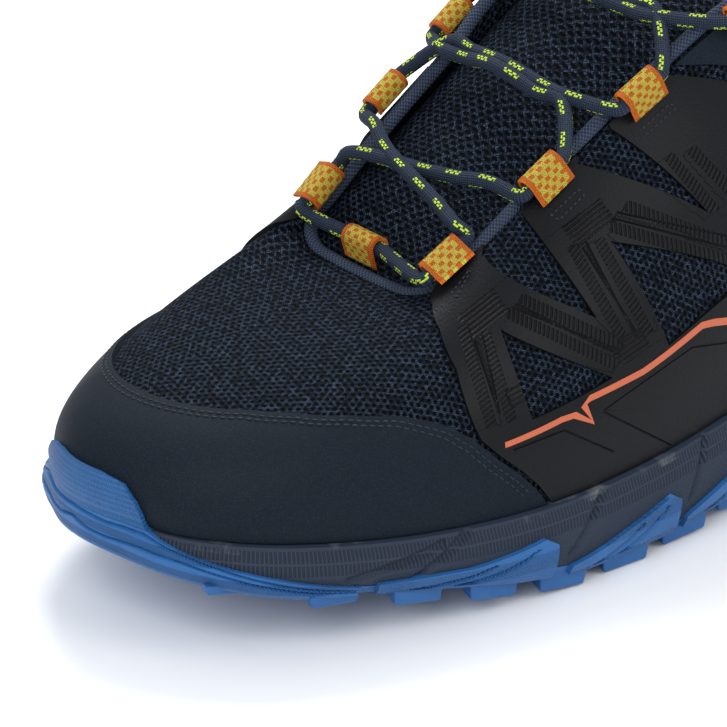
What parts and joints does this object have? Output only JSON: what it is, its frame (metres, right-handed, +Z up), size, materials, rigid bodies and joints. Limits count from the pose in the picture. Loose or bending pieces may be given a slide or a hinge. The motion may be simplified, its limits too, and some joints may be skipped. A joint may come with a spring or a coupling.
{
  "type": "trail shoe",
  "caption": "Low trail walking shoe with a lugged rubber sole, foam midsole, mesh upper, moulded side cage, toe cap, padded tongue and collar, and a lace run through webbing loops",
  "frame": {"origin": "middle of the shoe's box in plan, on the floor under the sole", "axes": "+X from the toe to the heel, -Y to the lateral side, +Z up from the floor"},
  "size_m": [0.293, 0.1076, 0.1446],
  "materials": {
    "rubber_blue": "matte",
    "foam_slate": "matte",
    "insole_dark": "matte",
    "mesh_navy": "matte",
    "cap_navy": "satin",
    "film_black": "satin",
    "piping_blue": "matte",
    "webbing_orange": "matte",
    "lace_navy": "matte"
  },
  "bodies": {
    "root": {"outsole": "rubber_blue", "midsole": "foam_slate", "insole": "insole_dark", "upper": "mesh_navy", "tongue": "mesh_navy", "toe_cap": "cap_navy", "heel_counter": "film_black", "collar": "mesh_navy", "throat_piping": "piping_blue", "cage_lateral": "film_black", "cage_medial": "film_black", "ankle_panel_lateral": "cap_navy", "ankle_panel_medial": "cap_navy", "loop_front": "webbing_orange", "lace_bar_lateral": "lace_navy", "lace_bar_medial": "lace_navy", "loop_lateral_1": "webbing_orange", "loop_lateral_2": "webbing_orange", "loop_lateral_3": "webbing_orange", "loop_lateral_4": "webbing_orange", "loop_medial_1": "webbing_orange", "loop_medial_2": "webbing_orange", "loop_medial_3": "webbing_orange", "loop_medial_4": "webbing_orange", "lace_cross_1": "lace_navy", "lace_cross_2": "lace_navy", "lace_cross_3": "lace_navy"}
  },
  "joints": []
}
